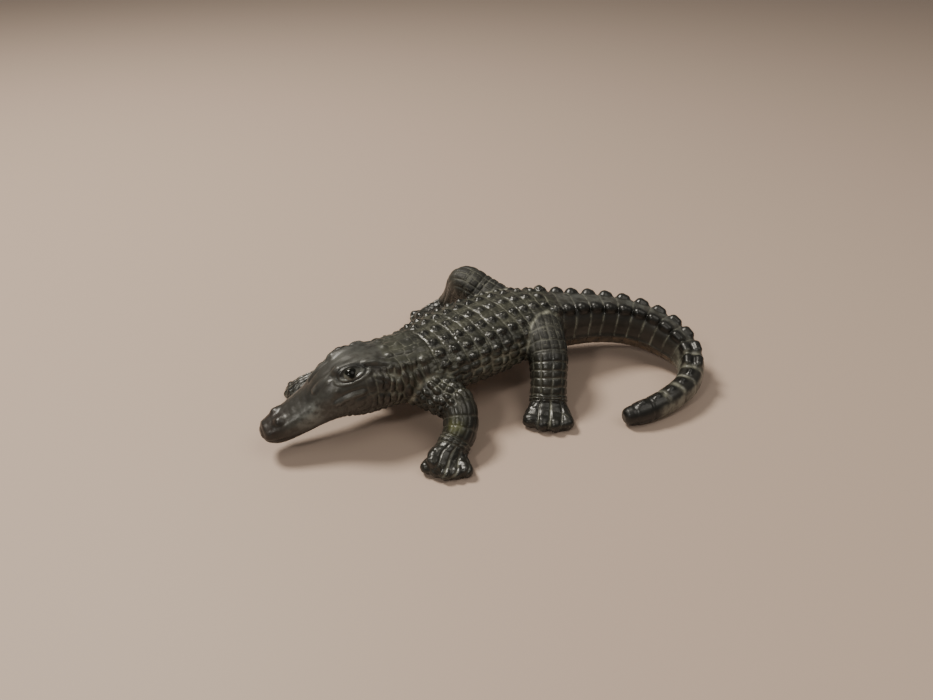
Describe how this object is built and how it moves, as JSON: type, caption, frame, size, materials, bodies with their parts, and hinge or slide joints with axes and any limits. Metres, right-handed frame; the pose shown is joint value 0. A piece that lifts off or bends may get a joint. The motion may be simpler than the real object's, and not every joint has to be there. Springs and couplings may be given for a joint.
{
  "type": "toy alligator figurine",
  "caption": "Small moulded soft-vinyl alligator standing on four splayed feet, with keeled scutes along the back and a tail curled round to its left.",
  "frame": {"origin": "under the middle of the figure's box, on the surface the soles stand on", "axes": "snout towards -X, tail towards +X, the animal's left side towards -Y, back up towards +Z"},
  "size_m": [0.0786, 0.0598, 0.0168],
  "materials": {
    "head_hide": "semi-gloss moulded vinyl with a pale wash",
    "back_hide": "glossy moulded vinyl with pale lines in the grooves",
    "leg_hide": "glossy moulded vinyl with pale lines in the grooves",
    "tail_hide": "glossy moulded vinyl, dark above and tan below",
    "pale_belly": "semi-gloss vinyl, olive cream",
    "eye_paint": "gloss black paint"
  },
  "bodies": {
    "root": {"back_scutes_1": "back_hide", "back_scutes_10": "back_hide", "back_scutes_11": "back_hide", "back_scutes_2": "back_hide", "back_scutes_3": "back_hide", "back_scutes_4": "back_hide", "back_scutes_5": "back_hide", "back_scutes_6": "back_hide", "back_scutes_7": "back_hide", "back_scutes_8": "back_hide", "back_scutes_9": "back_hide", "belly": "pale_belly", "left_brow": "head_hide", "left_eye": "eye_paint", "left_front_foot": "leg_hide", "left_front_lower_leg": "leg_hide", "left_front_toes": "leg_hide", "left_front_upper_leg": "leg_hide", "left_hind_foot": "leg_hide", "left_hind_lower_leg": "leg_hide", "left_hind_toes": "leg_hide", "left_hind_upper_leg": "leg_hide", "left_nostril": "head_hide", "lower_jaw": "head_hide", "nape_scutes": "back_hide", "neck": "back_hide", "right_brow": "head_hide", "right_eye": "eye_paint", "right_front_foot": "leg_hide", "right_front_lower_leg": "leg_hide", "right_front_toes": "leg_hide", "right_front_upper_leg": "leg_hide", "right_hind_foot": "leg_hide", "right_hind_lower_leg": "leg_hide", "right_hind_toes": "leg_hide", "right_hind_upper_leg": "leg_hide", "right_nostril": "head_hide", "skull": "head_hide", "tail_base": "tail_hide", "tail_bend": "tail_hide", "tail_crest_end": "tail_hide", "tail_crest_left": "tail_hide", "tail_crest_right": "tail_hide", "tail_end": "tail_hide", "tail_return": "tail_hide", "tail_root": "tail_hide", "tail_tip": "tail_hide", "throat": "pale_belly", "trunk": "back_hide"}
  },
  "joints": []
}
